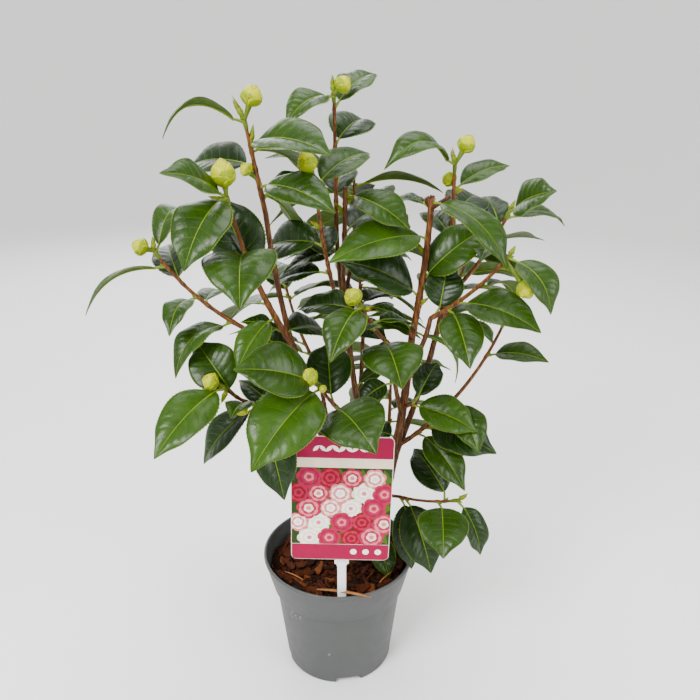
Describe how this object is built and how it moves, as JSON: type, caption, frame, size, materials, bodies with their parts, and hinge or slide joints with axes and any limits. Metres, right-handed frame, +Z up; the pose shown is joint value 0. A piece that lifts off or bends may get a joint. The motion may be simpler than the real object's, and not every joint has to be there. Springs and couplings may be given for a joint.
{
  "type": "camellia shrub",
  "caption": "Young evergreen shrub with glossy pointed leaves and fat round buds, standing in its tapered nursery pot with a plant label in the compost.",
  "frame": {"origin": "centre of the pot's flat underside, at the level it stands on", "axes": "+Z up along the plant; -Y towards the front, where the label faces; +X to the right seen from the front"},
  "size_m": [0.4151, 0.3234, 0.5731],
  "materials": {
    "pot": "matte mid grey, slightly scuffed",
    "compost": "dark brown compost with bark chips",
    "label": "printed card, pink and cream",
    "stick": "white plastic",
    "wood": "orange-brown young bark, greyer at the foot",
    "foliage": "glossy dark green leaves with paler midribs, yellow-green buds"
  },
  "bodies": {
    "root": {"pot": "pot", "compost": "compost", "label_card": "label", "label_stick": "stick", "trunk": "wood", "right_bough": "wood", "centre_bough": "wood", "left_bough": "wood", "mid_left_bough": "wood", "far_left_bough": "wood", "low_left_bough": "wood", "mid_front_bough": "wood", "upper_inner_bough": "wood", "top_centre_bough": "wood", "centre_low_bough": "wood", "back_right_bough": "wood", "top_right_bough": "wood", "right_out_bough": "wood", "mid_right_bough": "wood", "right_low_bough": "wood", "low_right_bough": "wood", "back_low_bough": "wood", "back_left_bough": "wood", "back_middle_bough": "wood", "back_high_bough": "wood", "back_out_bough": "wood", "top_left_leaves": "foliage", "left_front_leaves": "foliage", "far_left_leaves": "foliage", "mid_front_leaves": "foliage", "low_left_leaves": "foliage", "centre_low_leaves": "foliage", "upper_inner_leaves": "foliage", "top_centre_leaves": "foliage", "centre_stub_leaves": "foliage", "leader_leaves": "foliage", "mid_right_leaves": "foliage", "top_right_leaves": "foliage", "right_upper_leaves": "foliage", "right_out_leaves": "foliage", "right_low_leaves": "foliage", "low_right_leaves": "foliage", "back_low_leaves": "foliage", "back_left_leaves": "foliage", "back_middle_leaves": "foliage", "back_high_leaves": "foliage", "back_out_leaves": "foliage"}
  },
  "joints": []
}
